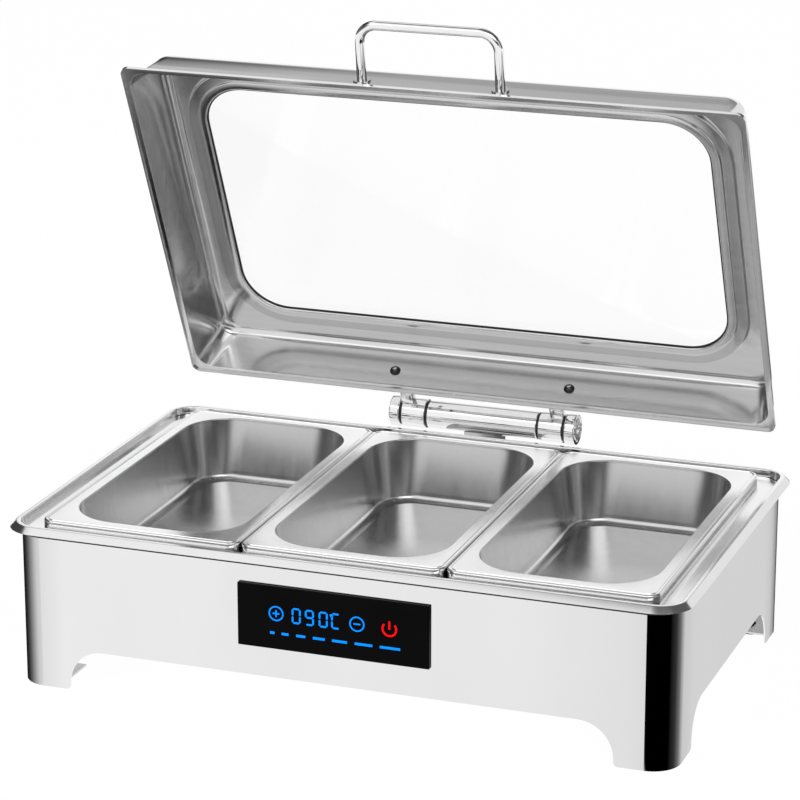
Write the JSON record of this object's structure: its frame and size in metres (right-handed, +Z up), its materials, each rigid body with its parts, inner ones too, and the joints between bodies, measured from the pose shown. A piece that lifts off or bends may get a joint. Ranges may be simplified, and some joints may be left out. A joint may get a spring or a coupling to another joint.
{
  "type": "electric chafing dish",
  "caption": "Countertop electric food warmer: polished steel body on arched feet, lift-out food pans over a heated water bath, hinged lid with a glass window and a touch panel on the front.",
  "frame": {"origin": "on the table plane, under the centre of the rim", "axes": "+X to the right as seen from the control panel, +Y to the rear where the hinge is, +Z up"},
  "size_m": [0.5858, 0.4036, 0.538],
  "materials": {
    "polished_steel": "mirror-polished stainless steel",
    "rim_steel": "polished stainless steel",
    "pan_steel": "satin stainless steel",
    "lid_steel": "satin inside, polished outside",
    "plain_steel": "mill-finish sheet steel",
    "screw_steel": "plain screws",
    "dark_steel": "dark dome-headed screws",
    "chrome": "chrome plate",
    "element_sheath": "heat-dulled steel sheath",
    "shield_sheet": "aluminised sheet",
    "insulation": "mineral fibre mat",
    "ceramic": "off-white ceramic",
    "black_plastic": "moulded black plastic",
    "blue_plastic": "relay case",
    "yellow_plastic": "taped coil",
    "circuit_board": "circuit board",
    "wire_sleeve": "silicone sleeving",
    "black_rubber": "moulded rubber",
    "probe_brass": "turned brass",
    "bush_brass": "sintered bush",
    "panel_glass": "black touch glass",
    "window_glass": "clear tempered glass"
  },
  "bodies": {
    "body": {"housing": "polished_steel", "corner_brackets": "plain_steel", "rubber_feet": "black_rubber", "base_plate": "plain_steel", "base_screws": "screw_steel", "water_pan": "rim_steel", "heating_element": "element_sheath", "element_clamps": "plain_steel", "insulation_pad": "insulation", "heat_shield": "shield_sheet", "shield_spacers": "ceramic", "thermal_cutout": "black_plastic", "temperature_probe": "probe_brass", "control_panel_glass": "panel_glass", "display_module": "black_plastic", "display_board": "circuit_board", "control_box": "black_plastic", "power_board": "circuit_board", "board_standoffs": "probe_brass", "power_relay": "blue_plastic", "board_transformer": "yellow_plastic", "terminal_block": "ceramic", "wiring": "wire_sleeve", "power_inlet": "black_plastic", "inlet_screws": "screw_steel", "hinge_bracket": "plain_steel", "bracket_screws": "screw_steel", "hinge_barrel": "chrome", "hinge_bushes": "bush_brass"},
    "left_pan": {"food_pan_left": "pan_steel"},
    "middle_pan": {"food_pan_middle": "pan_steel"},
    "right_pan": {"food_pan_right": "pan_steel"},
    "lid": {"hinge_pin": "screw_steel", "hinge_arm_left": "chrome", "hinge_arm_right": "chrome", "hinge_caps": "chrome", "arm_screws": "dark_steel", "lid_shell": "lid_steel", "lid_glass": "window_glass", "glass_seal": "black_rubber", "lid_handle": "chrome", "handle_washers": "chrome", "handle_screws": "dark_steel"}
  },
  "joints": [
    {"name": "lid_hinge", "type": "hinge", "parent": "body", "child": "lid", "pos_m": [0, 0.2057, 0.1487], "axis": [-1, 0, 0], "range_deg": [-65, 25]},
    {"name": "left_pan_lift", "type": "slide", "parent": "body", "child": "left_pan", "axis": [0, 0, 1], "range_m": [0, 0.006]},
    {"name": "middle_pan_lift", "type": "slide", "parent": "body", "child": "middle_pan", "axis": [0, 0, 1], "range_m": [0, 0.006]},
    {"name": "right_pan_lift", "type": "slide", "parent": "body", "child": "right_pan", "axis": [0, 0, 1], "range_m": [0, 0.006]}
  ]
}
